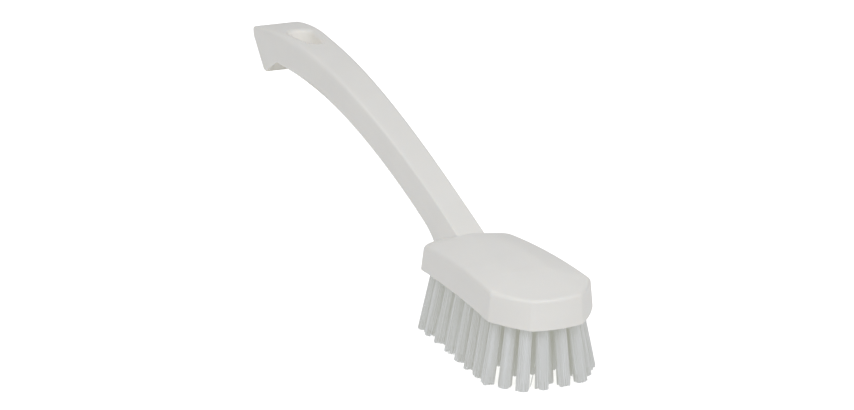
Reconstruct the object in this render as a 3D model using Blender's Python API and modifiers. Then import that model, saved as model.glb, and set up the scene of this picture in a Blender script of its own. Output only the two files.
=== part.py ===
"""Dish brush: one moulded body with a bowed, hooked handle, and tufts of bristles seated in its underside.

+X points to the nose of the head, +Y to the brush's left, +Z up. The bristle tips stand on Z = 0 and the
origin is under the middle of the brush. A setback is a distance back from the nose, and a height is
measured up from the underside of the head. Lengths are in metres.
"""
import math

import bmesh
import bpy
import numpy as np
from mathutils import Matrix, Vector
from mathutils.geometry import interpolate_bezier

# Overall sizes
overall_length = 0.2819
bristle_length = 0.0245

# Head: an eight-sided block with drafted walls, whose underside and side walls' top edges arch gently
head_length = 0.0879
head_width = 0.0436
head_taper = 0.0044
nose_width = 0.0214
nose_bulge = 0.0014
nose_corner_length = 0.0156
tail_width = 0.024
tail_corner_length = 0.0055
tail_crown = 0.001
wall_height = 0.01255
arch_radius = 0.385
arch_top_share = 0.362
underside_rise = 0.00094
underside_radius = 0.526
underside_top_share = 0.4334
wall_draft = 0.0011
head_edge_bevel = 0.0009
head_sharp_angle = math.radians(28)

# Head: the long flat on top, from which the roof slopes down to the walls
plateau_height = 0.0152
plateau_radius = 0.34
plateau_top_share = 0.498
plateau_front_setback = 0.0257
plateau_tail_inset = 0.016
plateau_front_width = 0.0156
plateau_rear_width = 0.0104

# Handle: the line of its top face, from the rear wall of the head to the hooked end
neck_height = 0.0163
neck_slope = math.radians(19.4)
neck_sweep = 0.046
end_height = 0.0459
end_slope = math.radians(12.3)
end_sweep = 0.064
neck_engagement = 0.018
neck_root_height = 0.0012

# Handle: its section, flat on top, sloping out to a shoulder and rounded below
handle_thickness = 0.0125
neck_thickness = 0.0148
throat_thickness = 0.0153
neck_top_width = 0.0112
end_top_width = 0.021
neck_width = 0.0158
neck_flare = 0.0028
neck_flare_length = 0.014
end_flare = 0.0008
paddle_flare = 0.0015
paddle_middle_share = 0.88
paddle_spread_share = 0.08
shoulder_depth = 0.0086
handle_edge_bevel = 0.0006
handle_sharp_angle = math.radians(35)
top_width_power_share = 1.9
side_width_power_share = 1.1
shoulder_power_share = 0.33
end_side_share = 0.04
neck_power_share = 8.0
throat_power_share = 2.0
end_flare_power_share = 9.0
neck_roundness_share = 0.64
end_roundness_share = 0.04
roundness_power_share = 2.6
hook_roundness_share = 0.09

# Hook: the handle's end turned down, with its end face raked forward
hook_length = 0.0271
hook_drop = 0.0176
hook_rake = 0.0095
hook_tip_thickness = 0.0028
hook_tip_width = 0.0192

# Hanging hole: a teardrop through the handle, its wide end towards the hook
hole_inset = 0.0295
hole_wide_radius = 0.0058
hole_narrow_radius = 0.0036
hole_length = 0.0253

# Tufts: where each stands in the underside, and how the tips spread out from the middle of the head
tuft_inset = 0.0053
tuft_nose_inset = 0.0069
tuft_nose_share = 0.807
inner_column_share = 0.424
inner_nose_inset = 0.0136
middle_nose_inset = 0.0117
inner_tail_inset = 0.0160
tail_tuft_offset = 0.0052
spread_centre_share = 0.4937
spread_along_share = 1.075
spread_across_share = 1.285
nose_shares = (0.41,)
corner_shares = (0.10, 0.55, 1.0)
side_shares = (0.128, 0.262, 0.412, 0.566, 0.732, 0.889, 1.0)

# Tufts: each is a round root in its hole, split into square strands below
tuft_root_diameter = 0.0042
tuft_tip_diameter = 0.0045
seat_roof = 0.00175
seat_clearance = 0.0003
strand_gap = 0.00028
cut_overrun = 0.002

# Counts
handle_stations = 13
line_samples = 96
bevel_segments = 2
belly_points = 4
wall_stations = 3
hole_sides = 12
hanging_hole_sides = 28
strands_across = 3
inner_rows = 7

nose_x = overall_length / 2
head_rear_width = head_width - head_taper
plateau_rear_setback = head_length - plateau_tail_inset
weld_distance = 0.00001
corner_turn_share = math.tan(math.pi / 8)


def clear_scene():
    """Removes whatever the file opened with."""
    for old in list(bpy.data.objects):
        bpy.data.objects.remove(old, do_unlink=True)


def place(setback, across, height):
    """A point of the brush as a vector in its own frame."""
    return Vector((nose_x - setback, across, bristle_length + height))


def plastic(name, colour, roughness):
    """A plain plastic in one colour."""
    material = bpy.data.materials.new(name)
    material.use_nodes = True
    shader = material.node_tree.nodes["Principled BSDF"]
    shader.inputs["Base Color"].default_value = (*colour, 1.0)
    shader.inputs["Roughness"].default_value = roughness
    shader.inputs["Metallic"].default_value = 0.0
    return material


def add_object(name, bm, collection, material=None):
    """Turns a bmesh into a named object of a collection."""
    mesh = bpy.data.meshes.new(name)
    bm.to_mesh(mesh)
    bm.free()
    thing = bpy.data.objects.new(name, mesh)
    collection.objects.link(thing)
    if material:
        mesh.materials.append(material)
    return thing


def hide_guide(guide):
    """Marks a cutter or a joined half so that it shows only as wire."""
    guide.hide_render = True
    guide.display_type = "WIRE"


def mirror_across(thing):
    """Completes a half that is open at the plane Y = 0."""
    mirror = thing.modifiers.new("other_half", "MIRROR")
    mirror.use_axis = (False, True, False)
    mirror.use_clip = True
    mirror.merge_threshold = weld_distance


def soften_edges(thing, width, angle):
    """Bevels the edges that turn by more than an angle."""
    bevel = thing.modifiers.new("edges", "BEVEL")
    bevel.limit_method = "ANGLE"
    bevel.angle_limit = angle
    bevel.width = width
    bevel.segments = bevel_segments


def boolean(thing, other, operation):
    """Joins or cuts one object with another."""
    step = thing.modifiers.new(other.name, "BOOLEAN")
    step.operation = operation
    step.object = other
    step.solver = "EXACT"


def wall_top(setback):
    """Height of a wall's top edge: an arc of arch_radius, highest at arch_top_share of the head's length."""
    return wall_height - (setback - head_length * arch_top_share) ** 2 / (2 * arch_radius)


def underside(setback):
    """Height of the underside: an arc of underside_radius, highest at underside_top_share of the length."""
    return underside_rise - (setback - head_length * underside_top_share) ** 2 / (2 * underside_radius)


def plateau_top(setback):
    """Height of the flat on top: an arc of plateau_radius, highest at plateau_top_share of the length."""
    return plateau_height - (setback - head_length * plateau_top_share) ** 2 / (2 * plateau_radius)


def head_outline():
    """Half of the head's outline at the underside, nose to tail: setback, half width and inward turns."""
    side_start = nose_corner_length
    side_end = head_length - tail_corner_length
    turn = corner_turn_share
    nose_corner = (nose_bulge, nose_width / 2, 1.0, turn)
    points = [(0.0, 0.0, 1.0, 0.0), nose_corner, (side_start, head_width / 2, turn, 1.0)]
    for step in range(1, wall_stations + 1):
        share = step / (wall_stations + 1)
        setback = side_start + (side_end - side_start) * share
        points.append((setback, half_width_at(setback), 0.0, 1.0))
    points.append((side_end, head_rear_width / 2, -turn, 1.0))
    points.append((head_length, tail_width / 2, -1.0, turn))
    points.append((head_length, 0.0, -1.0, 0.0))
    return points


def half_width_at(setback):
    """Half the head's width along its straight sides."""
    side_run = head_length - tail_corner_length - nose_corner_length
    share = (setback - nose_corner_length) / side_run
    return (head_width + (head_rear_width - head_width) * share) / 2


def plateau_point(index, last):
    """Setback and half width of the plateau edge above one point of the outline."""
    first_side, last_side = 2, last - 2
    share = min(max((index - first_side) / (last_side - first_side), 0.0), 1.0)
    setback = plateau_front_setback + (plateau_rear_setback - plateau_front_setback) * share
    width = plateau_front_width + (plateau_rear_width - plateau_front_width) * share
    if index in (0, last):
        width = 0.0
    return setback, width / 2


def head_half():
    """Left half of the head, open at Y = 0: underside, walls, roof slopes and half the plateau."""
    outline = head_outline()
    last = len(outline) - 1
    rows = []
    for index, (setback, half, inward_s, inward_w) in enumerate(outline):
        edge_setback = setback + wall_draft * inward_s
        flat_setback, flat_half = plateau_point(index, last)
        flat_height = plateau_top(flat_setback)
        crown = tail_crown if index == last else 0.0
        rows.append((
            place(setback, 0.0, underside(setback)),
            place(setback, half, underside(setback)),
            place(edge_setback, half - wall_draft * inward_w, wall_top(edge_setback) + crown),
            place(flat_setback, flat_half, flat_height),
            place(flat_setback, 0.0, flat_height),
        ))
    bm = bmesh.new()
    grid = [[bm.verts.new(point) for point in row] for row in rows]
    for front, back in zip(grid, grid[1:]):
        for low in range(len(front) - 1):
            bm.faces.new((front[low], front[low + 1], back[low + 1], back[low]))
    bmesh.ops.remove_doubles(bm, verts=bm.verts, dist=weld_distance)
    bmesh.ops.recalc_face_normals(bm, faces=bm.faces)
    return bm


def handle_top_line():
    """The top face's middle line, one cubic curve, as arrays of setback and height."""
    neck = Vector((head_length, neck_height, 0.0))
    end = Vector((overall_length, end_height, 0.0))
    leave = neck + neck_sweep * Vector((math.cos(neck_slope), math.sin(neck_slope), 0.0))
    arrive = end + end_sweep * Vector((-math.cos(end_slope), math.sin(end_slope), 0.0))
    points = np.array([tuple(point) for point in interpolate_bezier(neck, leave, arrive, end, line_samples)])
    return points[:, 0], points[:, 1]


def handle_stations_list():
    """Each section's top and bottom points, its share of the way to the end, and whether it is the hook's."""
    setbacks, heights = handle_top_line()
    throat_setback = overall_length - hook_length
    sections = []
    for setback in np.linspace(head_length, throat_setback, handle_stations):
        share = (setback - head_length) / (overall_length - head_length)
        height = np.interp(setback, setbacks, heights)
        slope = np.interp(setback, setbacks, np.gradient(heights, setbacks))
        depth = section_thickness(share)
        lean = math.atan(slope)
        bottom = (setback + depth * math.sin(lean), height - depth * math.cos(lean))
        sections.append(((setback, height), bottom, share, False))
    tip_setback = overall_length - hook_rake
    tip_height = end_height - hook_drop
    heel_setback = overall_length - hook_tip_thickness
    heel_height = np.interp(heel_setback, setbacks, heights)
    heel_share = 1.0 - hook_tip_thickness / (overall_length - head_length)
    tip_front = (tip_setback - hook_tip_thickness, tip_height)
    sections.append(((heel_setback, heel_height), tip_front, heel_share, True))
    sections.append(((overall_length, end_height), (tip_setback, tip_height), 1.0, True))
    return [neck_root(sections[0])] + sections


def neck_root(first):
    """The first section carried straight on into the head."""
    (top_setback, top_height), (bottom_setback, bottom_height), share, is_hook = first
    drop = neck_engagement * math.tan(neck_slope)
    top = (top_setback - neck_engagement, top_height - drop)
    bottom = (bottom_setback - neck_engagement, max(bottom_height - drop, neck_root_height))
    return top, bottom, share, is_hook


def section_thickness(share):
    """Top to underside, thicker at the neck and again towards the hook's throat."""
    near_neck = (neck_thickness - handle_thickness) * (1.0 - share) ** neck_power_share
    near_end = (throat_thickness - handle_thickness) * share ** throat_power_share
    return handle_thickness + near_neck + near_end


def flares(share):
    """How much wider the handle is towards its end and round the hanging hole, and where it meets the head."""
    paddle = math.exp(-((share - paddle_middle_share) / paddle_spread_share) ** 2)
    wider_end = end_flare * share ** end_flare_power_share + paddle_flare * paddle
    from_head = share * (overall_length - head_length)
    return wider_end, neck_flare * max(1.0 - from_head / neck_flare_length, 0.0) ** 2


def section_points(top, bottom, share, is_hook):
    """Half a section: flat top, side sloping out to the shoulder, then a rounded belly to the bottom."""
    wider_end, wider_neck = flares(share)
    top_width = neck_top_width + (end_top_width - neck_top_width) * share ** top_width_power_share
    side_width = neck_width + (end_top_width - neck_width) * share ** side_width_power_share
    top_half = (top_width + wider_end) / 2
    side_half = (side_width + wider_end + wider_neck) / 2
    shoulder = shoulder_depth * max(1.0 - share, end_side_share) ** shoulder_power_share
    depth = math.dist(top, bottom)
    squarer = (neck_roundness_share - end_roundness_share) * share ** roundness_power_share
    roundness = hook_roundness_share if is_hook else neck_roundness_share - squarer
    low_half = hook_tip_width / 2 if is_hook else side_half
    outline = [(0.0, 0.0), (top_half, 0.0), (side_half, shoulder)]
    for step in range(1, belly_points + 1):
        angle = math.pi / 2 * step / (belly_points + 1)
        along = math.sin(angle) ** roundness
        half = (side_half + (low_half - side_half) * along) * math.cos(angle) ** roundness
        outline.append((half, shoulder + (depth - shoulder) * along))
    outline.append((0.0, depth))
    down = ((bottom[0] - top[0]) / depth, (bottom[1] - top[1]) / depth)
    return [place(top[0] + down[0] * deep, half, top[1] + down[1] * deep) for half, deep in outline]


def handle_half():
    """Left half of the handle and hook: a skin through its sections, open at Y = 0."""
    rows = [section_points(*section) for section in handle_stations_list()]
    bm = bmesh.new()
    grid = [[bm.verts.new(point) for point in row] for row in rows]
    for front, back in zip(grid, grid[1:]):
        for step in range(len(front) - 1):
            bm.faces.new((front[step], back[step], back[step + 1], front[step + 1]))
    bm.faces.new(grid[0])
    bm.faces.new(grid[-1][::-1])
    bmesh.ops.remove_doubles(bm, verts=bm.verts, dist=weld_distance)
    bmesh.ops.recalc_face_normals(bm, faces=bm.faces)
    return bm


def hanging_hole():
    """Teardrop prism: a round column whose front half is drawn out and narrowed."""
    setbacks, heights = handle_top_line()
    tallest = float(heights.max()) + cut_overrun
    lowest = float(heights.max()) - handle_thickness - hook_drop
    bm = bmesh.new()
    bmesh.ops.create_cone(
        bm, cap_ends=True, segments=hanging_hole_sides, radius1=hole_wide_radius, radius2=hole_wide_radius,
        depth=tallest - lowest)
    reach = hole_length - hole_wide_radius - hole_narrow_radius
    taper = hole_narrow_radius / hole_wide_radius
    for vert in bm.verts:
        if vert.co.x > weld_distance:
            vert.co.x = reach + vert.co.x * taper
            vert.co.y *= taper
    middle = place(overall_length - hole_inset, 0.0, (tallest + lowest) / 2)
    bmesh.ops.translate(bm, verts=bm.verts, vec=middle)
    return bm


def inset_outline():
    """Half of the line that the outer tufts stand on: three corners of the head's outline, each moved inwards."""
    slope = math.atan2((head_width - nose_width) / 2, nose_corner_length - nose_bulge)
    side_half = head_width / 2 - tuft_inset
    side_setback = nose_corner_length + tuft_inset * math.tan((math.pi / 2 - slope) / 2)
    nose_corner = (tuft_nose_inset, nose_width / 2 * tuft_nose_share)
    tail_setback = head_length - tail_corner_length - tuft_inset
    return nose_corner, (side_setback, side_half), (tail_setback, half_width_at(tail_setback) - tuft_inset)


def between(start, end, share):
    """The point a share of the way from one setback and half width to another."""
    return start[0] + (end[0] - start[0]) * share, start[1] + (end[1] - start[1]) * share


def tuft_roots():
    """Name, setback and distance left of the middle for every tuft."""
    nose, side, tail = inset_outline()
    offset = side[1] * inner_column_share
    flank = [between(nose, side, share) for share in corner_shares]
    flank += [between(side, tail, share) for share in side_shares]
    roots = []
    for side_name, sign in (("left", 1), ("right", -1)):
        for share in nose_shares:
            roots.append((f"tuft_nose_{side_name}", nose[0], sign * nose[1] * share))
        for number, (setback, across) in enumerate(flank, start=1):
            roots.append((f"tuft_{side_name}_{number:02d}", setback, sign * across))
        roots.append((f"tuft_tail_{side_name}", head_length - tuft_inset, sign * tail_tuft_offset))
    columns = (
        ("left", offset, inner_nose_inset),
        ("middle", 0.0, middle_nose_inset),
        ("right", -offset, inner_nose_inset),
    )
    for column, across, first in columns:
        rows = np.linspace(first, head_length - inner_tail_inset, inner_rows)
        for row, setback in enumerate(rows, start=1):
            roots.append((f"tuft_inner_{column}_{row}", float(setback), across))
    return roots


def tuft_ends(setback, across):
    """Where a tuft leaves the underside and where its tip stands: the tips spread from the head's middle."""
    centre = head_length * spread_centre_share
    tip_setback = centre + (setback - centre) * spread_along_share
    tip = place(tip_setback, across * spread_across_share, -bristle_length)
    return place(setback, across, underside(setback)), tip


def hole_depth():
    """Depth of the tuft holes, which leaves seat_roof of plastic over them where the head is lowest."""
    return wall_top(head_length) - seat_roof


def tuft_frame(root, tip):
    """Matrix that stands +Z along a tuft, from its tip up into the head, with its origin at the root."""
    upward = (root - tip).normalized()
    return Matrix.Translation(root) @ upward.to_track_quat("Z", "Y").to_matrix().to_4x4()


def tuft_holes():
    """The blind holes for all tufts, as one cutter of separate round columns."""
    radius = (tuft_root_diameter / 2 + seat_clearance) / math.cos(math.pi / hole_sides)
    depth = hole_depth()
    bm = bmesh.new()
    for _, setback, across in tuft_roots():
        root, tip = tuft_ends(setback, across)
        centre = Matrix.Translation((0.0, 0.0, (depth - cut_overrun) / 2))
        bmesh.ops.create_cone(
            bm, cap_ends=True, segments=hole_sides, radius1=radius, radius2=radius,
            depth=depth + cut_overrun, matrix=tuft_frame(root, tip) @ centre)
    return bm


def run_to_floor(root, tip, verts):
    """Moves each vertex onto Z = 0 along its line from the tuft's apex, so that strand sides stay flat."""
    widening = tuft_tip_diameter / tuft_root_diameter - 1.0
    apex = root + (root - tip) / widening
    for vert in verts:
        vert.co = apex + (vert.co - apex) * (apex.z / (apex.z - vert.co.z))


def round_disc(vert):
    """Moves a vertex of a square of half side 1 into a disc of radius 1."""
    u, v = vert.co.x, vert.co.y
    vert.co.x = u * math.sqrt(1.0 - v * v / 2)
    vert.co.y = v * math.sqrt(1.0 - u * u / 2)


def tuft(root, tip):
    """One tuft: a round root, whose lower face is split into cells that run on as strands to the floor."""
    bm = bmesh.new()
    bmesh.ops.create_grid(bm, x_segments=strands_across, y_segments=strands_across, size=1.0)
    for vert in bm.verts:
        round_disc(vert)
    radius = tuft_root_diameter / 2
    bmesh.ops.scale(bm, verts=bm.verts, vec=(radius, radius, 1.0))
    cells = list(bm.faces)
    copy = bmesh.ops.duplicate(bm, geom=cells + list(bm.edges) + list(bm.verts))["geom"]
    raised = [item for item in copy if isinstance(item, bmesh.types.BMVert)]
    lid = [item for item in copy if isinstance(item, bmesh.types.BMFace)]
    bmesh.ops.translate(bm, verts=raised, vec=(0.0, 0.0, hole_depth() - seat_clearance))
    bmesh.ops.bridge_loops(bm, edges=[edge for edge in bm.edges if edge.is_boundary])
    bmesh.ops.dissolve_faces(bm, faces=lid)
    bmesh.ops.inset_individual(bm, faces=cells, thickness=strand_gap / 2)
    ends = bmesh.ops.extrude_discrete_faces(bm, faces=cells)["faces"]
    bmesh.ops.transform(bm, matrix=tuft_frame(root, tip), verts=bm.verts)
    run_to_floor(root, tip, {vert for face in ends for vert in face.verts})
    bmesh.ops.recalc_face_normals(bm, faces=bm.faces)
    return bm


def build_body(parts, guides, material):
    """Head and handle moulded in one, with the hanging hole and the tuft holes cut."""
    body = add_object("brush_body", head_half(), parts, material)
    mirror_across(body)
    soften_edges(body, head_edge_bevel, head_sharp_angle)
    handle = add_object("handle_form", handle_half(), guides)
    mirror_across(handle)
    soften_edges(handle, handle_edge_bevel, handle_sharp_angle)
    cutters = [(handle, "UNION")]
    cutters.append((add_object("hanging_hole_cutter", hanging_hole(), guides), "DIFFERENCE"))
    cutters.append((add_object("tuft_hole_cutter", tuft_holes(), guides), "DIFFERENCE"))
    for cutter, operation in cutters:
        hide_guide(cutter)
        boolean(body, cutter, operation)
    return body


def build_tufts(parts, material):
    """Every tuft in its hole."""
    for name, setback, across in tuft_roots():
        add_object(name, tuft(*tuft_ends(setback, across)), parts, material)


def main():
    clear_scene()
    parts = bpy.data.collections.new("dish_brush")
    guides = bpy.data.collections.new("cutters")
    for collection in (parts, guides):
        bpy.context.scene.collection.children.link(collection)
    white = plastic("white_polypropylene", (0.72, 0.71, 0.68), 0.38)
    bristle = plastic("translucent_bristle", (0.60, 0.61, 0.58), 0.45)
    build_body(parts, guides, white)
    build_tufts(parts, bristle)


main()
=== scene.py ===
"""Looks of a white plastic dish brush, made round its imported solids.

The frame is the solids' own, in metres: +X to the nose of the head, +Y to the brush's left, +Z up, with the
bristle tips on Z = 0. A setback is a distance back from the nose, and a height is measured up from the
underside of the head. Every surface is worked out as whole numpy arrays from the sizes below.
"""
import math

import bmesh
import bpy
import numpy as np
from mathutils import Matrix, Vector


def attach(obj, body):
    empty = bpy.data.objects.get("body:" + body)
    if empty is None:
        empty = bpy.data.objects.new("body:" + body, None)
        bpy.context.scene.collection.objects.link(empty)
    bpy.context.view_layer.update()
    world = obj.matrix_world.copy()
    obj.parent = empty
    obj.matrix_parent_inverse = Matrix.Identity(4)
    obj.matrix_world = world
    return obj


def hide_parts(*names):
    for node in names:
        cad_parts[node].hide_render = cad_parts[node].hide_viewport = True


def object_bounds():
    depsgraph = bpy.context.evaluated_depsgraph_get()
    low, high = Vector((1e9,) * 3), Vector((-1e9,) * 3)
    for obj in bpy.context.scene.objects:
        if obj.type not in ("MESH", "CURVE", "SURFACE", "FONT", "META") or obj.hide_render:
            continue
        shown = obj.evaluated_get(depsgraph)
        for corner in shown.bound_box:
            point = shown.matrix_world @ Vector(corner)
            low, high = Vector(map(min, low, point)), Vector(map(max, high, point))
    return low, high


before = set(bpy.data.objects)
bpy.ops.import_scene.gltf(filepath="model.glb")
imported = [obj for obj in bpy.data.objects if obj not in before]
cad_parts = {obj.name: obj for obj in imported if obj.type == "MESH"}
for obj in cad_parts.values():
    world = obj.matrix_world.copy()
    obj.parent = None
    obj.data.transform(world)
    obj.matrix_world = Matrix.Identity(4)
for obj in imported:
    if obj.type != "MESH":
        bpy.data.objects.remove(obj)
solid_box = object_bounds()

# Overall sizes
overall_length = 0.2819
bristle_length = 0.0245
nose_x = overall_length / 2

# Head: an eight-sided block with drafted walls and a faceted roof, arched gently along its length
head_length = 0.0879
head_width = 0.0436
head_taper = 0.0044
nose_width = 0.0214
nose_bulge = 0.0014
nose_corner_length = 0.0156
nose_corner_bulge = 0.0008
tail_width = 0.024
tail_corner_length = 0.0055
tail_crown = 0.001
wall_height = 0.01255
arch_radius = 0.385
arch_top_share = 0.362
underside_rise = 0.00094
underside_radius = 0.526
underside_top_share = 0.4334
wall_draft = 0.0011
plateau_height = 0.0152
plateau_radius = 0.34
plateau_top_share = 0.498
plateau_front_setback = 0.0257
plateau_tail_inset = 0.016
plateau_front_width = 0.0156
plateau_rear_width = 0.0104
rear_slope = 0.149
rear_slope_radius = 0.0508

# Head: how far each kind of edge is rounded back from its corner, and each ridge of the roof in height
rim_rounding = 0.0008
front_edge_rounding = 0.0011
side_edge_rounding = 0.0019
corner_roundings = (0.0007, 0.0008, 0.0026, 0.0020)
front_ridge_softness = 0.00008
corner_ridge_softness = 0.00012
side_ridge_softness_front = 0.00015
side_ridge_softness_rear = 0.0012
rear_ridge_softness = 0.0006

# Head: the inset that inward directions are measured over, and how its surface is divided
far_inset = 0.003
ridge_band = 0.0002
tail_curve_share = 0.75
wall_rows = 3
middle_stations = 30
corner_wall_stations = 20
side_front_stations = 28
side_rear_stations = 52
tail_corner_stations = 9
rounding_stations = 7

# Handle: the line of its top face, from the rear wall of the head to the hooked end
neck_height = 0.0163
neck_slope = math.radians(19.4)
neck_sweep = 0.046
end_height = 0.0458
end_slope = math.radians(12.3)
end_sweep = 0.064
neck_engagement = 0.018
neck_root_height = 0.0012
handle_length = overall_length - head_length

# Handle: its section, flat on top, sloping out to a shoulder and rounded below
handle_thickness = 0.0122
neck_thickness = 0.0148
throat_thickness = 0.0164
neck_top_width = 0.0112
end_top_width = 0.021
neck_width = 0.0158
neck_flare = 0.0028
neck_flare_length = 0.014
end_flare = 0.0008
paddle_flare = 0.0015
paddle_middle_share = 0.88
paddle_spread_share = 0.08
shoulder_depth = 0.0086
top_width_power_share = 1.9
side_width_power_share = 1.1
shoulder_power_share = 0.33
neck_power_share = 8.0
throat_power_share = 1.7
throat_relief_share = 0.85
throat_relief_power = 8.0
end_flare_power_share = 9.0
end_side_share = 0.04
neck_roundness_share = 0.64
end_roundness_share = 0.07
roundness_power_share = 3.5
hook_roundness_share = 0.07

# Handle: its edges, crisp at the head and softer towards the hook
arris_rounding_neck = 0.0006
arris_rounding_end = 0.0030
shoulder_rounding_neck = 0.0030
shoulder_rounding_end = 0.0012
end_face_rounding = 0.0009
end_face_bulge = 0.0013
end_face_inset = 0.0002
face_edge_share = 0.000001
hook_corner_rounding = 0.0005
hook_tip_rounding = 0.0006
edge_limit_share = 0.45
shoulder_limit_share = 0.3

# Hook: the handle's end turned down, with its end face raked forward
hook_length = 0.0271
hook_drop = 0.0175
hook_rake = 0.0095
hook_tip_thickness = 0.0028
hook_tip_width = 0.0192
throat_share = (overall_length - hook_length - head_length) / handle_length

# Handle: how its surface is divided, along the way and round its section
line_stations = 241
handle_stations = 64
hook_stations = 34
hook_corner_stations = 8
hook_corner_lead = 3
edge_stations = 7
belly_stations = 20
end_leg_stations = 4
end_rounding_stations = 6

# Hanging hole: a teardrop through the handle with a rounded rim
hole_inset = 0.0295
hole_wide_radius = 0.0055
hole_narrow_radius = 0.0032
hole_length = 0.0246
hole_reach = hole_length - hole_wide_radius - hole_narrow_radius
hole_rim_rounding = 0.0017
hole_rim_turn = (12, 90)
hole_rim_stations = 8
hole_wide_stations = 49
hole_narrow_stations = 21
hole_side_stations = 14
cut_overrun = 0.002

# Hanging hole: the light its wall gives off, how far round it that reaches, and on which tilts of a face
hole_glow = 0.063
hole_glow_length_share = 0.75
hole_glow_width_share = 1.75
hole_glow_fade = 0.2
hole_glow_tilt = (0.3, 0.8)

# Tufts: fine filaments packed into a round hole, spreading a little below it
tuft_hole_radius = 0.0024
tuft_hole_depth = 0.0068
tuft_hole_sides = 24
tuft_top_band = 0.001
tuft_tip_band = 0.0001
filament_diameter = 0.00034
bundle_root_radius = 0.00232
bundle_tip_radius = 0.0027
filament_count = 156
filament_sides = 5
filament_steps = 5
core_share = 0.84
core_sides = 18
core_end = 0.0035
core_tone = 0.5
golden_angle = math.pi * (3 - math.sqrt(5))
seat_share = 0.5
lean_spread = 0.00008
bow_spread = 0.00005
stray_spread = 0.0012
stray_share = 0.012
tip_raggedness = 0.0013
tip_waves = 900.0
tip_step_level = 0.1
tip_step_spread = 0.28
first_seed = 1000

# Finish: patches of tone, and the mould's grain, drawn three times as coarse as the real one so it shows
tone_patch = 1 / 55
spark_grain = 1 / 2600

# Meshes: how near to each other points are welded, and the angles past which an edge stays crisp
weld_distance = 0.00001
sharp_angle = math.radians(38)
filament_sharp_angle = math.radians(75)

# Photograph: where the camera stood
camera_azimuth = math.radians(65.82)
camera_elevation = math.radians(18.19)
camera_roll = math.radians(0.434)
camera_distance = 1.25
camera_aim = (0.07475, -0.0238, 0.05533)
camera_lens = 139.1
camera_sensor = 36.0

# Studio: the table, and a small card that shades the hook's throat
table_half = 3.0
table_glow = 0.6
card_reach = (-0.142, -0.112)
card_width = 0.03
card_height = 0.036

# Light: the surroundings at the sides and above, then straight below
surround_level = 0.564
surround_below = 1.2

# Light: each soft box's name, azimuth and elevation in degrees, size and power
soft_boxes = (
    ("right_light", -55, 38, 0.7, 3.35),
    ("left_light", 8, 38, 0.7, 4.0),
    ("edge_light", -153, 45, 0.35, 0.7),
    ("side_light", 75, 10, 0.7, 0.5),
)
light_distance = 1.2
light_target = (0.03, 0.0, 0.05)


# Colour and node helpers

def linear(hex_colour):
    """Linear RGBA of an sRGB hex colour: a 2.4 power curve with a short straight foot."""
    channels = [int(hex_colour[start:start + 2], 16) / 255 for start in (1, 3, 5)]
    return tuple(c / 12.92 if c <= 0.04045 else ((c + 0.055) / 1.055) ** 2.4 for c in channels) + (1.0,)


def add_node(owner, kind, settings=None, links=None, **values):
    """Adds a node with its attributes, its links from other nodes' outputs, and its input values."""
    tree = owner.node_tree
    node = tree.nodes.new(kind)
    for name, value in (settings or {}).items():
        setattr(node, name, value)
    for name, value in values.items():
        node.inputs[name.replace("_", " ")].default_value = value
    for name, output in (links or {}).items():
        tree.links.new(output, node.inputs[name])
    return node


def moulded_polypropylene():
    """White polypropylene, moulded against finely sparked steel: satin, with soft light under its skin.

    Its tone varies a little in patches. The wall of the hanging hole gives off a little light, which stands
    for light passed on through the plastic, and fades away from the hole and towards level faces.
    """
    material = bpy.data.materials.new("moulded_polypropylene")
    material.use_nodes = True
    tree = material.node_tree
    shader = tree.nodes["Principled BSDF"]
    shader.inputs["IOR"].default_value = 1.49
    shader.inputs["Subsurface Weight"].default_value = 0.18
    shader.inputs["Subsurface Radius"].default_value = (1.0, 0.85, 0.65)
    shader.inputs["Subsurface Scale"].default_value = 0.0018
    shader.inputs["Emission Color"].default_value = linear("#FFF6EA")
    place_on = add_node(material, "ShaderNodeTexCoord").outputs["Object"]
    cloud = add_node(material, "ShaderNodeTexNoise", links={"Vector": place_on},
                     Scale=1 / tone_patch, Detail=3.0)
    tone = add_node(material, "ShaderNodeValToRGB", links={"Fac": cloud.outputs["Fac"]})
    tone.color_ramp.elements[0].color = linear("#DEDDDA")
    tone.color_ramp.elements[1].color = linear("#E4E3E0")
    tree.links.new(tone.outputs["Color"], shader.inputs["Base Color"])
    grain = add_node(material, "ShaderNodeTexNoise", links={"Vector": place_on},
                     Scale=1 / spark_grain, Detail=2.0)
    rough = add_node(material, "ShaderNodeMapRange", links={"Value": grain.outputs["Fac"]},
                     To_Min=0.30, To_Max=0.38)
    tree.links.new(rough.outputs["Result"], shader.inputs["Roughness"])
    bump = add_node(material, "ShaderNodeBump", links={"Height": grain.outputs["Fac"]},
                    Strength=0.12, Distance=0.00008)
    tree.links.new(bump.outputs["Normal"], shader.inputs["Normal"])
    middle = nose_x - overall_length + hole_inset + hole_reach / 2
    reach = (hole_length * hole_glow_length_share, hole_wide_radius * hole_glow_width_share, 1.0)
    span = add_node(material, "ShaderNodeMapping", settings={"vector_type": "TEXTURE"},
                    links={"Vector": place_on}, Location=(middle, 0.0, 0.0), Scale=reach)
    near_hole = add_node(material, "ShaderNodeTexGradient", settings={"gradient_type": "SPHERICAL"},
                         links={"Vector": span.outputs["Vector"]})
    near = add_node(material, "ShaderNodeMapRange", links={"Value": near_hole.outputs["Fac"]},
                    From_Min=0.0, From_Max=hole_glow_fade, To_Min=0.0, To_Max=hole_glow)
    normal = add_node(material, "ShaderNodeNewGeometry").outputs["Normal"]
    facing = add_node(material, "ShaderNodeSeparateXYZ", links={"Vector": normal})
    level = add_node(material, "ShaderNodeMath", settings={"operation": "ABSOLUTE"},
                     links={"Value": facing.outputs["Z"]})
    glow = add_node(material, "ShaderNodeMapRange",
                    links={"Value": level.outputs["Value"], "To Min": near.outputs["Result"]},
                    From_Min=hole_glow_tilt[0], From_Max=hole_glow_tilt[1], To_Max=0.0)
    tree.links.new(glow.outputs["Result"], shader.inputs["Emission Strength"])
    return material


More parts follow.
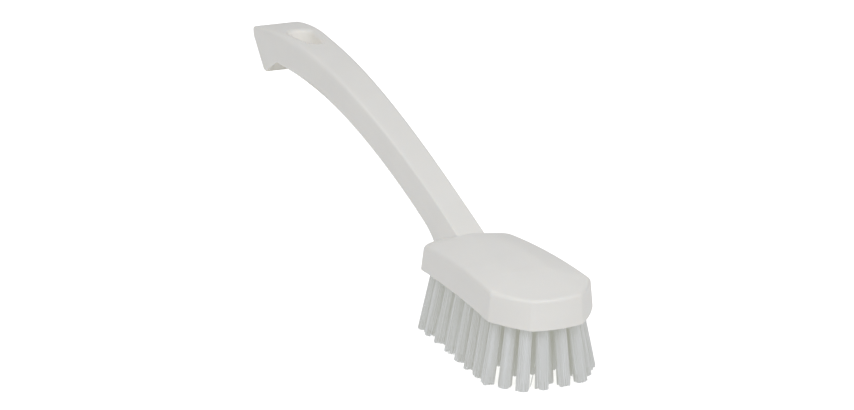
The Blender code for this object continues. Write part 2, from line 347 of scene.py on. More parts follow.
def polyester_filament():
    """Extruded polyester filament, translucent: pale grey-white, each strand a little lighter or darker.

    The light that it gives off stands for light that the strands pass on to each other.
    """
    material = bpy.data.materials.new("polyester_filament")
    material.use_nodes = True
    tree = material.node_tree
    shader = tree.nodes["Principled BSDF"]
    shader.inputs["IOR"].default_value = 1.57
    shader.inputs["Roughness"].default_value = 0.5
    shader.inputs["Transmission Weight"].default_value = 0.25
    shader.inputs["Emission Color"].default_value = linear("#EFEDCC")
    shader.inputs["Emission Strength"].default_value = 0.14
    strand = add_node(material, "ShaderNodeAttribute", settings={"attribute_name": "strand_tone"})
    tone = add_node(material, "ShaderNodeValToRGB", links={"Fac": strand.outputs["Fac"]})
    tone.color_ramp.elements[0].color = linear("#CACCD5")
    tone.color_ramp.elements[1].color = linear("#D2D5DF")
    tree.links.new(tone.outputs["Color"], shader.inputs["Base Color"])
    return material


# Mesh helpers

def place(setback, across, height):
    """Points from a setback, a distance left of the middle and a height above the head's underside."""
    return np.stack(np.broadcast_arrays(nose_x - setback, across, bristle_length + height), axis=-1)


def grid_faces(rows, columns, closed=True):
    """Quads between neighbouring rows of a grid of points, whose columns join up into a ring if closed."""
    row = np.arange(rows - 1)[:, None] * columns
    column = np.arange(columns if closed else columns - 1)[None, :]
    across = (column + 1) % columns
    corners = (row + column, row + across, row + across + columns, row + column + columns)
    return np.stack(np.broadcast_arrays(*corners), axis=-1).reshape(-1, 4)


def quadratic(t, start, corner, stop):
    """The curve (1 - t)^2 start + 2 t (1 - t) corner + t^2 stop, at every t."""
    return (1 - t) ** 2 * start + 2 * t * (1 - t) * corner + t ** 2 * stop


def blend_between(first, last, share):
    """A value that changes evenly from the first to the last with a share of the way."""
    return first + (last - first) * share


def new_object(name, data):
    """An object of this data, in the scene."""
    thing = bpy.data.objects.new(name, data)
    bpy.context.scene.collection.objects.link(thing)
    return thing


def build(name, points, faces):
    """An object from points and faces: no repeated corners, doubles merged, faces turned outwards."""
    mesh = bpy.data.meshes.new(name)
    tidy = [list(dict.fromkeys(face)) for face in faces]
    mesh.from_pydata(np.reshape(points, (-1, 3)).tolist(), [], [face for face in tidy if len(face) > 2])
    shell = bmesh.new()
    shell.from_mesh(mesh)
    bmesh.ops.remove_doubles(shell, verts=shell.verts, dist=weld_distance)
    bmesh.ops.recalc_face_normals(shell, faces=shell.faces)
    shell.to_mesh(mesh)
    shell.free()
    return new_object(name, mesh)


def combine(base, cutters):
    """The finished mesh of a base piece joined with or cut by others, which are then removed."""
    for cutter, operation in cutters:
        step = base.modifiers.new(cutter.name, "BOOLEAN")
        step.operation = operation
        step.object = cutter
        step.solver = "MANIFOLD"
    graph = bpy.context.evaluated_depsgraph_get()
    mesh = bpy.data.meshes.new_from_object(base.evaluated_get(graph))
    base.modifiers.clear()
    base.data = mesh
    for cutter, _ in cutters:
        bpy.data.objects.remove(cutter, do_unlink=True)
    return base


def finish_surface(thing, material):
    """Smooth shading that keeps real edges crisp and flat facets flat."""
    thing.data.materials.clear()
    thing.data.materials.append(material)
    thing.data.shade_smooth()
    thing.data.set_sharp_from_angle(angle=sharp_angle)
    normals = thing.modifiers.new("facet_normals", "WEIGHTED_NORMAL")
    normals.keep_sharp = True


def dress(thing, slot, *nodes):
    """Rides the brush and stands for the solids it covers; its slot is not used."""
    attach(thing, "root")
    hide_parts(*nodes)


# Head

def wall_top(setback):
    """Height of a wall's top edge: an arc, highest at a share of the head's length."""
    return wall_height - (setback - head_length * arch_top_share) ** 2 / (2 * arch_radius)


def underside(setback):
    """Height of the underside: an arc, highest at a share of the head's length."""
    return underside_rise - (setback - head_length * underside_top_share) ** 2 / (2 * underside_radius)


def plateau_top(setback):
    """Height of the flat on top: an arc, highest at a share of the head's length."""
    return plateau_height - (setback - head_length * plateau_top_share) ** 2 / (2 * plateau_radius)


def head_corners(inset):
    """The four corners of half the head's outline, moved inwards with the walls that meet there.

    A corner between walls with unit inward normals n and m moves by inset (n + m) / (1 + n.m).
    """
    corners = np.array((
        (nose_bulge, nose_width / 2),
        (nose_corner_length, head_width / 2),
        (head_length - tail_corner_length, (head_width - head_taper) / 2),
        (head_length, tail_width / 2),
    ))
    along = np.diff(corners, axis=0)
    along /= np.linalg.norm(along, axis=1)[:, None]
    normals = np.vstack(((1.0, 0.0), np.stack((along[:, 1], -along[:, 0]), axis=1), (-1.0, 0.0)))
    lean = 1.0 + (normals[:-1] * normals[1:]).sum(axis=1)
    return corners + inset * (normals[:-1] + normals[1:]) / lean[:, None]


def head_outline(inset):
    """Half of the head's outline moved inwards, nose middle to tail middle, as setbacks and half widths.

    The nose is the parabola s = c (w / half)^2, the front corner wall bulges by 4 b t (1 - t), and each
    corner is a quadratic curve between points a rounding away from it.
    """
    corners = head_corners(inset)
    nose, side, rear, tail = corners
    round_nose, round_side, round_rear, round_tail = corner_roundings
    lengths = np.linalg.norm(np.diff(corners, axis=0), axis=1)
    w = np.linspace(0.0, 1.0 - round_nose / nose[1], middle_stations)
    nose_wall = np.stack((inset + (nose[0] - inset) * w ** 2, nose[1] * w), axis=1)
    t = np.linspace(round_nose / lengths[0], 1.0 - round_side / lengths[0], corner_wall_stations)[:, None]
    front = side - nose
    outward = np.array((-front[1], front[0])) / lengths[0]
    corner_wall = nose + front * t + outward * nose_corner_bulge * 4 * t * (1 - t)
    ridge = (plateau_front_setback - side[0]) / (rear[0] - side[0])
    band = ridge_band / lengths[1]
    near = np.linspace(round_side / lengths[1], ridge - band, side_front_stations)
    far = np.linspace(ridge + band, 1.0 - round_rear / lengths[1], side_rear_stations)
    side_wall = side + (rear - side) * np.r_[near, ridge, far][:, None]
    t = np.linspace(round_rear / lengths[2], 1.0 - round_tail / lengths[2], tail_corner_stations)[:, None]
    tail_corner = rear + (tail - rear) * t
    w = np.linspace(1.0 - round_tail / tail[1], 0.0, middle_stations)
    tail_wall = np.stack((np.full_like(w, tail[0]), tail[1] * w), axis=1)
    walls = (nose_wall, corner_wall, side_wall, tail_corner, tail_wall)
    pieces = [nose_wall]
    t = np.linspace(0.0, 1.0, rounding_stations)[1:-1, None]
    for corner, before, after in zip(corners, walls, walls[1:]):
        pieces += [quadratic(t, before[-1], corner, after[0]), after]
    return np.vstack(pieces)


def soft_lower(first, second, softness):
    """The lower of two heights, rounded where they cross: min(a, b) - max(k - |a - b|, 0)^2 / 4k."""
    return np.minimum(first, second) - np.maximum(softness - abs(first - second), 0.0) ** 2 / (4 * softness)


def plane(points):
    """Height over setback and half width of the plane through three points, as a function."""
    first, second, third = np.array(points)
    legs = np.array((second - first, third - first))
    slope = np.linalg.solve(legs[:, :2], legs[:, 2])
    return lambda setback, half: first[2] + slope[0] * (setback - first[0]) + slope[1] * (half - first[1])


def roof_height(setback, across):
    """Height of the roof: the lowest of its facets, with the ridges between them softened.

    The flat and both side slopes follow arches along the head. The side slopes are ruled straight from the
    wall's top edge to the edge of the flat, and the rear slope steepens as a parabola. The front slope and
    the facets at the four corners are planes through the corners' top points.
    """
    half = abs(across)
    nose, side, rear, tail = [(*corner, wall_top(corner[0])) for corner in head_corners(wall_draft)]
    rear_setback = head_length - plateau_tail_inset
    front_flat = (plateau_front_setback, plateau_front_width / 2, plateau_top(plateau_front_setback))
    rear_flat = (rear_setback, plateau_rear_width / 2, plateau_top(rear_setback))
    flat = plateau_top(setback)
    share = np.clip((setback - plateau_front_setback) / (rear_setback - plateau_front_setback), 0.0, 1.0)
    flat_half = blend_between(front_flat[1], rear_flat[1], share ** 2)
    edge_half = blend_between(side[1], rear[1], (setback - side[0]) / (rear[0] - side[0]))
    edge = wall_top(setback)
    side_slope = edge + (flat - edge) * (edge_half - half) / (edge_half - flat_half)
    past = setback - rear_setback
    crown = tail_crown * (half / tail[1]) ** 2 * np.clip(past / (tail[0] - rear_setback), 0.0, 1.0)
    rear_drop = rear_slope * past + np.maximum(past, 0.0) ** 2 / (2 * rear_slope_radius)
    front_rise = (front_flat[2] - nose[2]) / (front_flat[0] - nose[0])
    front_slope = front_flat[2] + front_rise * (setback - plateau_front_setback)
    side_softness = blend_between(side_ridge_softness_front, side_ridge_softness_rear, share)
    height = soft_lower(flat, side_slope, side_softness)
    height = soft_lower(height, rear_flat[2] - rear_drop - crown, rear_ridge_softness)
    height = soft_lower(height, plane((rear, tail, rear_flat))(setback, half), rear_ridge_softness)
    height = soft_lower(height, front_slope, front_ridge_softness)
    return soft_lower(height, plane((nose, side, front_flat))(setback, half), corner_ridge_softness)


def fill_outline(outline):
    """A grid that fills the head's outline, with its rows across the head and its columns along it.

    A row runs straight between the same station on both sides. Towards the nose it takes on the nose's
    curve, which fades as a square up to the front of the flat, and over the last rows the tail's.
    """
    corner = middle_stations + rounding_stations // 2 - 1
    nose, side, tail = outline[:corner + 1], outline[corner:-corner], outline[::-1][:corner + 1]
    s, half = side[:, :1], side[:, 1:]
    share = (s - s[0]) / (s[-1] - s[0])
    across = half * blend_between(nose[:, 1] / nose[-1, 1], tail[:, 1] / tail[-1, 1], share)
    near_nose = np.clip((plateau_front_setback - s) / (plateau_front_setback - s[0]), 0.0, 1.0) ** 2
    near_tail = np.clip((share - tail_curve_share) / (1 - tail_curve_share), 0.0, 1.0) ** 2
    setback = s + near_nose * (nose[:, 0] - nose[-1, 0]) + near_tail * (tail[:, 0] - tail[-1, 0])
    return np.hstack((setback[:, :0:-1], setback)), np.hstack((-across[:, :0:-1], across))


def head_shell():
    """The head as one closed skin: underside, rim, wall, rounded top edge and roof.

    Each station of the outline carries the same profile. The rim and the top edge are quadratic curves
    round the corners between underside, wall and roof.
    """
    sharp = head_outline(0.0)
    inwards = (head_outline(far_inset) - sharp) / far_inset
    draft = sharp + inwards * wall_draft
    low = underside(sharp[:, 0])
    top = roof_height(draft[:, 0], draft[:, 1])
    depth = (top - low)[:, None]
    nose_share = np.clip(sharp[:, :1] / nose_corner_length, 0.0, 1.0)
    rounding = blend_between(front_edge_rounding, side_edge_rounding, nose_share)
    rim_share = rim_rounding / depth
    edge_share = 1.0 - rounding / depth
    t = np.linspace(0.0, 1.0, rounding_stations)
    wall_share = blend_between(rim_share, edge_share, np.linspace(0.0, 1.0, wall_rows + 2)[1:-1])
    rim_inset = quadratic(t, rim_rounding, 0.0, wall_draft * rim_share)
    edge_inset = quadratic(t, wall_draft * edge_share, wall_draft, wall_draft + rounding)
    inset = np.hstack((rim_inset, wall_draft * wall_share, edge_inset))
    roof = sharp + inwards * (wall_draft + rounding)
    roof_end = roof_height(roof[:, 0], roof[:, 1])[:, None]
    base_end = underside(sharp[:, :1] + inwards[:, :1] * rim_rounding)
    low, top = low[:, None], top[:, None]
    rim_height = quadratic(t, base_end, low, low + depth * rim_share)
    edge_height = quadratic(t, low + depth * edge_share, top, roof_end)
    height = np.hstack((rim_height, low + depth * wall_share, edge_height))
    points = sharp[:, None] + inwards[:, None] * inset[..., None]
    left = place(points[..., 0], points[..., 1], height)
    right = place(points[..., 0], -points[..., 1], height)[-2:0:-1]
    rings = np.concatenate((left, right)).transpose(1, 0, 2)
    base_s, base_w = fill_outline(points[:, 0])
    base = place(base_s, base_w, underside(base_s))
    roof_s, roof_w = fill_outline(roof)
    lid = place(roof_s, roof_w, roof_height(roof_s, roof_w))
    count = rings.shape[0] * rings.shape[1]
    patch = grid_faces(*base.shape[:2], closed=False)
    roof_patch = patch[:, ::-1] + count + base.size // 3
    faces = np.vstack((grid_faces(*rings.shape[:2]), patch + count, roof_patch))
    skin = np.vstack([part.reshape(-1, 3) for part in (rings, base, lid)])
    return build("head_shell", skin, faces.tolist())


# Handle

def top_line():
    """Setbacks and heights of the top face's middle: a cubic curve, carried straight on into the head."""
    t = np.linspace(0.0, 1.0, line_stations)[:, None]
    neck = np.array((head_length, neck_height))
    end = np.array((overall_length, end_height))
    leave = neck + neck_sweep * np.array((math.cos(neck_slope), math.sin(neck_slope)))
    arrive = end + end_sweep * np.array((-math.cos(end_slope), math.sin(end_slope)))
    curve = ((1 - t) ** 3 * neck + 3 * t * (1 - t) ** 2 * leave
             + 3 * t ** 2 * (1 - t) * arrive + t ** 3 * end)
    root = neck - neck_engagement * np.array((1.0, math.tan(neck_slope)))
    line = np.vstack((root[None], curve))
    return line[:, 0], line[:, 1]


def rounded_corner(before, corner, after, rounding):
    """A path's corner as a quadratic curve that leaves and joins its legs a rounding away from it."""
    start = corner + (before - corner) * (rounding / np.linalg.norm(before - corner))
    stop = corner + (after - corner) * (rounding / np.linalg.norm(after - corner))
    return quadratic(np.linspace(0.0, 1.0, hook_corner_stations)[:, None], start, corner, stop)


def along_path(path, shares):
    """Points of a path at shares of its length."""
    reach = np.r_[0.0, np.cumsum(np.linalg.norm(np.diff(path, axis=0), axis=1))]
    return np.stack([np.interp(shares * reach[-1], reach, path[:, axis]) for axis in (0, 1)], axis=1)


def way_share(setback):
    """Share of the way from the head's rear wall to the end of the handle."""
    return np.clip((setback - head_length) / handle_length, 0.0, 1.0)


def handle_lines():
    """Every section's top and bottom point, as setback and height, and its share of the way."""
    setbacks, heights = top_line()
    throat = overall_length - hook_length
    main_s = np.linspace(setbacks[0], throat, handle_stations)
    top = np.stack((main_s, np.interp(main_s, setbacks, heights)), axis=1)
    lean = np.arctan(np.interp(main_s, setbacks, np.gradient(heights, setbacks)))
    depth = section_thickness(way_share(main_s))
    bottom = top + depth[:, None] * np.stack((np.sin(lean), -np.cos(lean)), axis=1)
    bottom[:, 1] = np.maximum(bottom[:, 1], neck_root_height)
    tip = np.array((overall_length - hook_rake, end_height - hook_drop))
    front = tip - np.array((hook_tip_thickness, 0.0))
    corner = rounded_corner(bottom[-1 - hook_corner_lead], bottom[-1], front, hook_corner_rounding)
    toe = rounded_corner(bottom[-1], front, tip, hook_tip_rounding)
    path = np.vstack((corner, toe, tip[None]))
    hook_share = np.linspace(0.0, 1.0, hook_stations)
    hook_bottom = along_path(path, hook_share)
    start = top[-1, 0] - hook_corner_rounding
    hook_s = start + (overall_length - start) * hook_share
    hook_top = np.stack((hook_s, np.interp(hook_s, setbacks, heights)), axis=1)
    keep = main_s < start - hook_corner_rounding
    tops = np.vstack((top[keep], hook_top))
    bottoms = np.vstack((bottom[keep], hook_bottom))
    return tops, bottoms, way_share(tops[:, 0])


def section_thickness(share):
    """Top to underside, thicker at the neck and again towards the hook's throat."""
    near_neck = (neck_thickness - handle_thickness) * (1.0 - share) ** neck_power_share
    relief = 1.0 - throat_relief_share * np.minimum(share / throat_share, 1.0) ** throat_relief_power
    near_end = (throat_thickness - handle_thickness) * share ** throat_power_share * relief
    return handle_thickness + near_neck + near_end


def section_outlines(depth, share):
    """Half of every section as (distance out, distance down) pairs, from the top's middle to the bottom's.

    The top is flat to a rounded arris, the side slopes out to a rounded shoulder, and the belly below is
    the curve (cos a)^r, (sin a)^r, whose power r falls towards the hook and so squares the section there.
    """
    share = share[:, None]
    depth = depth[:, None]
    paddle = paddle_flare * np.exp(-((share - paddle_middle_share) / paddle_spread_share) ** 2)
    wider_end = end_flare * share ** end_flare_power_share + paddle
    wider_neck = neck_flare * np.clip(1.0 - share * handle_length / neck_flare_length, 0.0, 1.0) ** 2
    top_width = blend_between(neck_top_width, end_top_width, share ** top_width_power_share)
    side_width = blend_between(neck_width, end_top_width, share ** side_width_power_share)
    top = (top_width + wider_end) / 2
    side = (side_width + wider_end + wider_neck) / 2
    drop = shoulder_depth * np.maximum(1.0 - share, end_side_share) ** shoulder_power_share
    in_hook = np.clip((share - throat_share) / (1.0 - throat_share), 0.0, 1.0)
    squarer = np.minimum(share / throat_share, 1.0) ** roundness_power_share
    squarer = (neck_roundness_share - end_roundness_share) * squarer
    power = blend_between(neck_roundness_share - squarer, hook_roundness_share, in_hook)
    low = blend_between(side, hook_tip_width / 2, in_hook)
    slope = np.hypot(side - top, drop)
    most = slope * edge_limit_share + weld_distance
    arris = np.minimum(blend_between(arris_rounding_neck, arris_rounding_end, share), most)
    blend = np.minimum(blend_between(shoulder_rounding_neck, shoulder_rounding_end, share), most)
    t = np.linspace(0.0, 1.0, edge_stations)[None, :]
    out_leg = (side - top) / (slope + weld_distance)
    down_leg = drop / (slope + weld_distance)
    arris_out = quadratic(t, top - arris, top, top + arris * out_leg)
    arris_down = t ** 2 * arris * down_leg
    angle = np.linspace(0.0, math.pi / 2, belly_stations)[None, 1:]
    along = np.sin(angle) ** power
    belly_out = (side + (low - side) * along) * np.cos(angle) ** power
    belly_out[:, -1] = 0.0
    belly_down = drop + (depth - drop) * along
    first_down = drop + np.minimum(blend, (depth - drop) * shoulder_limit_share)
    shoulder_out = quadratic(t, side - blend * out_leg, side, side)
    shoulder_down = quadratic(t, drop - blend * down_leg, drop, first_down)
    belly_down = np.maximum(belly_down, first_down + weld_distance)
    middle = np.zeros_like(top)
    out = np.hstack((middle, top / 2, arris_out, shoulder_out, belly_out))
    down = np.hstack((middle, middle, arris_down, shoulder_down, belly_down))
    return out, down


def handle_shell():
    """The handle and hook as one closed skin: half sections along the top and bottom lines, mirrored."""
    tops, bottoms, share = handle_lines()
    gap = bottoms - tops
    depth = np.linalg.norm(gap, axis=1)
    out, down = section_outlines(depth, share)
    step = gap / depth[:, None]
    setback = tops[:, :1] + step[:, :1] * down
    height = tops[:, 1:] + step[:, 1:] * down
    left = place(setback, out, height)
    right = place(setback, -out, height)[:, -2:0:-1]
    rings = np.concatenate((left, right), axis=1)
    rings = np.concatenate((rings[:-1], end_rings(rings, down[-1])), axis=0)
    rows, columns = rings.shape[:2]
    half = left.shape[1]
    lefts = np.arange(half - 1)
    rights = (columns - lefts) % columns
    next_rights = (columns - lefts - 1) % columns
    cap = np.stack((lefts, lefts + 1, next_rights, rights), axis=1)
    faces = grid_faces(rows, columns).tolist() + cap.tolist() + (cap + (rows - 1) * columns).tolist()
    return build("handle_shell", rings, faces)


def end_rings(rings, down):
    """The handle's end: its last section bulges backwards and its edge is rounded into the end face.

    The bulge is 27/4 d (1 - d)^2 of its height at the share d of the depth, so it's fullest a third of the
    way down. Each point then follows a quadratic curve from a rounding short of its corner, to the corner,
    to a rounding in from it across the end face.
    """
    last = rings[-1]
    face_down = last[len(down) - 1] - last[0]
    backwards = np.cross(face_down, (0.0, 1.0, 0.0))
    backwards *= -np.sign(backwards[0]) / np.linalg.norm(backwards)
    depth_share = (last - last[0]) @ face_down / (face_down @ face_down)
    bulge = 27 / 4 * depth_share * (1 - depth_share) ** 2
    corner = last + backwards * (end_face_bulge * bulge - end_face_inset)[:, None]
    leg = rings[-1 - end_leg_stations] - corner
    leg /= np.linalg.norm(leg, axis=1)[:, None]
    off_ends = depth_share * (1 - depth_share) > face_edge_share
    inwards = np.zeros_like(last)
    inwards[:, 1] = -np.clip(last[:, 1], -end_face_rounding, end_face_rounding) * off_ends
    face_unit = face_down / np.linalg.norm(face_down)
    along_down = np.where(depth_share < 0.5, 1.0, -1.0)[:, None] * face_unit
    near_end = np.minimum(depth_share, 1 - depth_share)[:, None] * np.linalg.norm(face_down)
    inwards += along_down * np.clip(end_face_rounding - near_end, 0.0, None)
    t = np.linspace(0.0, 1.0, end_rounding_stations)[:, None, None]
    return quadratic(t, corner + leg * end_face_rounding, corner, corner + inwards)


# Cuts

def teardrop(rounding):
    """The hanging hole's outline grown by a rounding: the band round a wide and a narrow circle."""
    lean = math.acos((hole_wide_radius - hole_narrow_radius) / hole_reach)
    wide = np.linspace(lean, 2 * math.pi - lean, hole_wide_stations)
    narrow = np.linspace(-lean, lean, hole_narrow_stations)
    wide_points = (hole_wide_radius + rounding) * np.stack((np.cos(wide), np.sin(wide)), axis=1)
    narrow_points = (hole_narrow_radius + rounding) * np.stack((np.cos(narrow), np.sin(narrow)), axis=1)
    narrow_points += (hole_reach, 0.0)
    t = np.linspace(0.0, 1.0, hole_side_stations)[1:-1, None]
    near = blend_between(wide_points[-1], narrow_points[0], t)
    far = blend_between(narrow_points[-1], wide_points[0], t)
    return np.vstack((wide_points, near, narrow_points, far))


def hanging_hole():
    """Cutter of the hanging hole: rings of the teardrop that flare in a quarter circle at both faces."""
    _, bottoms, _ = handle_lines()
    turn = np.radians(np.linspace(*hole_rim_turn, hole_rim_stations))
    flare = np.r_[1 - math.sin(turn[0]), 1 - np.sin(turn)] * hole_rim_rounding
    sink = np.r_[-cut_overrun, (1 - np.cos(turn)) * hole_rim_rounding]
    rings = []
    faces = ((top_line(), flare, -sink), (bottoms.T, flare[::-1], sink[::-1]))
    for (setbacks, heights), roundings, depths in faces:
        for rounding, depth in zip(roundings, depths):
            outline = teardrop(rounding)
            setback = overall_length - hole_inset - outline[:, 0]
            rings.append(place(setback, outline[:, 1], np.interp(setback, setbacks, heights) + depth))
    rings = np.array(rings)
    rows, columns = rings.shape[:2]
    caps = [list(range(columns)), list(range((rows - 1) * columns, rows * columns))]
    return build("hanging_hole_cutter", rings, grid_faces(rows, columns).tolist() + caps)


def tuft_axis(node):
    """Top and tip middles of a tuft's solid, from its highest and lowest rings of points."""
    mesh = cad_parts[node].data
    points = np.empty(len(mesh.vertices) * 3, dtype=np.float32)
    mesh.vertices.foreach_get("co", points)
    points = points.reshape(-1, 3).astype(float)
    height = points[:, 2]
    ends = []
    for ring in (points[height > height.max() - tuft_top_band], points[height < tuft_tip_band]):
        ends.append((ring.min(axis=0) + ring.max(axis=0)) / 2)
    return np.array(ends)


def across_axis(axis):
    """Two directions square to each axis and to each other."""
    side = np.cross(axis, (0.0, 1.0, 0.0))
    side /= np.linalg.norm(side, axis=-1, keepdims=True)
    return side, np.cross(axis, side)


def tuft_holes(axes):
    """Cutter of the tufts' blind holes: a round column along each tuft, up from below the underside."""
    top, tip = axes[:, 0], axes[:, 1]
    upward = (top - tip) / np.linalg.norm(top - tip, axis=1)[:, None]
    mouth = top - upward * ((top[:, 2:] - bristle_length) / upward[:, 2:])
    side, other = across_axis(upward)
    angle = np.linspace(0.0, 2 * math.pi, tuft_hole_sides, endpoint=False)[None, :, None]
    ring = (side[:, None] * np.cos(angle) + other[:, None] * np.sin(angle)) * tuft_hole_radius
    low = mouth - upward * cut_overrun
    high = mouth + upward * tuft_hole_depth
    points = np.stack((low[:, None] + ring, high[:, None] + ring), axis=1)
    sides = tuft_hole_sides
    one = grid_faces(2, sides).tolist() + [list(range(sides)), list(range(sides, 2 * sides))]
    starts = range(0, points.size // 3, 2 * sides)
    faces = [[corner + start for corner in face] for start in starts for face in one]
    return build("tuft_hole_cutter", points, faces)


# Tufts

def packed_places():
    """A bundle's places in a disc of radius 1: a sunflower spiral, k-th radius sqrt((k + 1/2) / n)."""
    k = np.arange(filament_count)
    radius, turn = np.sqrt((k + 0.5) / filament_count), golden_angle * k
    return radius[:, None] * np.stack((np.cos(turn), np.sin(turn)), axis=1)


def tuft_seat(top, tip):
    """Where a tuft's filaments start: a share of its hole's depth down from its top."""
    return top - (top - tip) / np.linalg.norm(top - tip) * (seat_share * tuft_hole_depth)


def filament_paths(top, tip, chance):
    """Middle lines of a tuft's filaments, as (filament, step, xyz).

    Each follows the tuft's axis at its own place in the bundle, which widens towards the tips. It also
    leans by a chance amount that grows with the square of the way down, and bows by a half sine. It ends
    above the floor by a step, so that neighbours end together raggedly: a level, plus the product of two
    sine waves across the bundle, plus a chance amount, held between 0 and 1.
    """
    start = tuft_seat(top, tip)
    side, other = across_axis((top - tip) / np.linalg.norm(top - tip))
    turn = chance.uniform(0.0, 2 * math.pi)
    spin = np.array(((math.cos(turn), -math.sin(turn)), (math.sin(turn), math.cos(turn))))
    places = packed_places() @ spin
    count = len(places)
    along = np.linspace(0.0, 1.0, filament_steps + 1)[None, :, None]
    fill = blend_between(bundle_root_radius, bundle_tip_radius, along) - filament_diameter / 2
    lean = chance.normal(0.0, lean_spread, (count, 1, 2)) * along ** 2
    stray = chance.uniform(0.0, 1.0, (count, 1, 1)) < stray_share
    lean = lean + stray * chance.normal(0.0, stray_spread, (count, 1, 2)) * along ** 2
    bow = chance.normal(0.0, bow_spread, (count, 1, 2)) * np.sin(math.pi * along)
    offset = places[:, None] * fill + lean + bow
    wave = places * bundle_tip_radius * tip_waves + chance.uniform(0.0, 2 * math.pi, 2)
    step = tip_step_level + np.sin(wave).prod(axis=1) + chance.normal(0.0, tip_step_spread, count)
    step = np.clip(step, 0.0, 1.0)
    stop = tip + (top - tip) * (tip_raggedness * step[:, None, None] / (top - tip)[2])
    line = start + (stop - start) * along
    return line + offset[..., :1] * side + offset[..., 1:] * other


def keep_inside(paths):
    """Holds the filaments inside the solids' box, with room for their own thickness."""
    low, high = (np.array(corner) for corner in solid_box)
    room = np.array((1.0, 1.0, 0.0)) * filament_diameter / 2
    paths = np.clip(paths, low + room, high - room)
    paths[..., 2] = np.maximum(paths[..., 2], 0.0)
    return paths


def level_ring(sides):
    """A level circle of radius 1 as points."""
    angle = np.linspace(0.0, 2 * math.pi, sides, endpoint=False)
    return np.stack((np.cos(angle), np.sin(angle), np.zeros_like(angle)), axis=1)


def tube_faces(tubes, rows, sides, first_point):
    """Faces of equal closed tubes stored one after the other: their sides, and a flat cap at both ends."""
    starts = first_point + np.arange(tubes)[:, None] * rows * sides
    walls = (grid_faces(rows, sides)[None, :, ::-1] + starts[..., None]).reshape(-1, 4)
    cap = np.arange(sides)[None, :]
    return walls.tolist() + (cap[:, ::-1] + starts).tolist() + (cap + (rows - 1) * sides + starts).tolist()


def tuft_filaments(node, number, material):
    """One tuft: fine filaments with flat cut tips, round a core that stands for the others inside."""
    top, tip = tuft_axis(node)
    chance = np.random.default_rng(first_seed + number)
    paths = keep_inside(filament_paths(top, tip, chance))
    count, steps = paths.shape[:2]
    points = paths[:, :, None] + level_ring(filament_sides) * filament_diameter / 2
    core_tip = tip + (top - tip) * (core_end / (top - tip)[2])
    along = np.linspace(0.0, 1.0, steps)[:, None, None]
    radius = core_share * blend_between(bundle_root_radius, bundle_tip_radius, along)
    core = blend_between(tuft_seat(top, tip), core_tip, along) + level_ring(core_sides) * radius
    faces = tube_faces(count, steps, filament_sides, 0) + tube_faces(1, steps, core_sides, points.size // 3)
    mesh = bpy.data.meshes.new(f"{node}_filaments")
    mesh.from_pydata(np.vstack((points.reshape(-1, 3), core.reshape(-1, 3))).tolist(), [], faces)
    tone = mesh.attributes.new("strand_tone", "FLOAT", "POINT")
    tones = np.repeat(chance.uniform(0.0, 1.0, count), steps * filament_sides)
    tone.data.foreach_set("value", np.r_[tones, np.full(core.size // 3, core_tone)])
    bundle = new_object(mesh.name, mesh)
    mesh.materials.append(material)
    mesh.shade_smooth()
    mesh.set_sharp_from_angle(angle=filament_sharp_angle)
    dress(bundle, "translucent_bristle", node)


# Studio

def studio_sheet(name, low, high, height, finish, colour):
    """A level rectangle between two corners of its plan, matt and of one colour, and its shader."""
    mesh = bpy.data.meshes.new(name)
    plan = ((low[0], low[1]), (high[0], low[1]), (high[0], high[1]), (low[0], high[1]))
    mesh.from_pydata([(x, y, height) for x, y in plan], [], [(0, 1, 2, 3)])
    material = bpy.data.materials.new(finish)
    material.use_nodes = True
    shader = material.node_tree.nodes["Principled BSDF"]
    shader.inputs["Base Color"].default_value = linear(colour)
    shader.inputs["Roughness"].default_value = 0.9
    mesh.materials.append(material)
    return new_object(name, mesh), shader


def studio_floor():
    """A plain white table that the brush stands on.

    The surroundings, stronger from below, stand for the light that it throws back on the brush.
    """
    corner = (table_half, table_half)
    floor, shader = studio_sheet("floor", np.negative(corner), corner, 0.0, "white_table", "#F4F4F4")
    shader.inputs["Emission Color"].default_value = linear("#FFFFFF")
    shader.inputs["Emission Strength"].default_value = table_glow
    floor.visible_diffuse = False
    floor.visible_glossy = False


def shade_card():
    """An olive-grey card, itself unseen, that keeps the light from below off the hook's inner face."""
    (back, front), half = card_reach, card_width / 2
    card, _ = studio_sheet("shade_card", (back, -half), (front, half), card_height, "olive_card", "#94884C")
    card.visible_camera = False
    card.visible_shadow = False


def soft_light(name, azimuth, elevation, size, power):
    """A square soft box that faces the brush from a direction in degrees: azimuth from +X towards +Y."""
    light = bpy.data.lights.new(name, "AREA")
    light.shape = "SQUARE"
    light.size = size
    light.energy = power
    lamp = new_object(name, light)
    turn, rise = math.radians(azimuth), math.radians(elevation)
    away = np.array((math.cos(turn) * math.cos(rise), math.sin(turn) * math.cos(rise), math.sin(rise)))
    lamp.location = np.array(light_target) + away * light_distance
    lamp.rotation_euler = (math.pi / 2 - rise, 0.0, math.pi / 2 + turn)


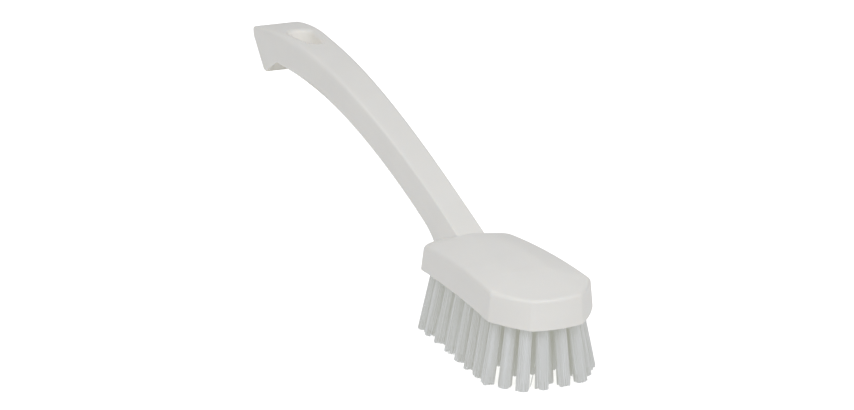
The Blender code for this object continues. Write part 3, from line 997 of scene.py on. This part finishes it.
def surroundings():
    """White light from all round, of strength a + (b - a) max(-z, 0) in a direction of height z.

    It is strongest straight below, b, because the white table throws light back.
    """
    world = bpy.data.worlds.new("studio")
    bpy.context.scene.world = world
    world.use_nodes = True
    background = world.node_tree.nodes["Background"]
    background.inputs["Color"].default_value = linear("#FFFFFF")
    direction = add_node(world, "ShaderNodeTexCoord").outputs["Generated"]
    parts = add_node(world, "ShaderNodeSeparateXYZ", links={"Vector": direction})
    level = add_node(world, "ShaderNodeMapRange", links={"Value": parts.outputs["Z"]},
                     From_Min=-1.0, From_Max=0.0, To_Min=surround_below, To_Max=surround_level)
    world.node_tree.links.new(level.outputs["Result"], background.inputs["Strength"])


def photograph_camera():
    """The camera at the photograph's place: it looks along the azimuth and elevation at the aim point."""
    data = bpy.data.cameras.new("camera")
    data.lens = camera_lens
    data.sensor_width = camera_sensor
    data.sensor_fit = "HORIZONTAL"
    camera = new_object("camera", data)
    a, e = camera_azimuth, camera_elevation
    back = np.array((math.sin(a) * math.cos(e), -math.cos(a) * math.cos(e), math.sin(e)))
    camera.location = np.array(camera_aim) + back * camera_distance
    turned = Matrix.Rotation(a, 3, "Z") @ Matrix.Rotation(math.pi / 2 - e, 3, "X")
    camera.rotation_euler = (turned @ Matrix.Rotation(camera_roll, 3, "Z")).to_euler()
    bpy.context.scene.camera = camera


def main():
    """Makes the brush on its table, seen from the photograph's place."""
    tufts = sorted(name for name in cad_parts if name.startswith("tuft_"))
    white = moulded_polypropylene()
    filament = polyester_filament()
    axes = np.array([tuft_axis(node) for node in tufts])
    cutters = [(handle_shell(), "UNION"), (hanging_hole(), "DIFFERENCE"), (tuft_holes(axes), "DIFFERENCE")]
    body = combine(head_shell(), cutters)
    body.name = "moulded_body"
    finish_surface(body, white)
    dress(body, "white_polypropylene", "brush_body")
    for number, node in enumerate(tufts):
        tuft_filaments(node, number, filament)
    studio_floor()
    shade_card()
    surroundings()
    for box in soft_boxes:
        soft_light(*box)
    photograph_camera()
    bpy.context.scene.view_settings.view_transform = "Standard"


main()
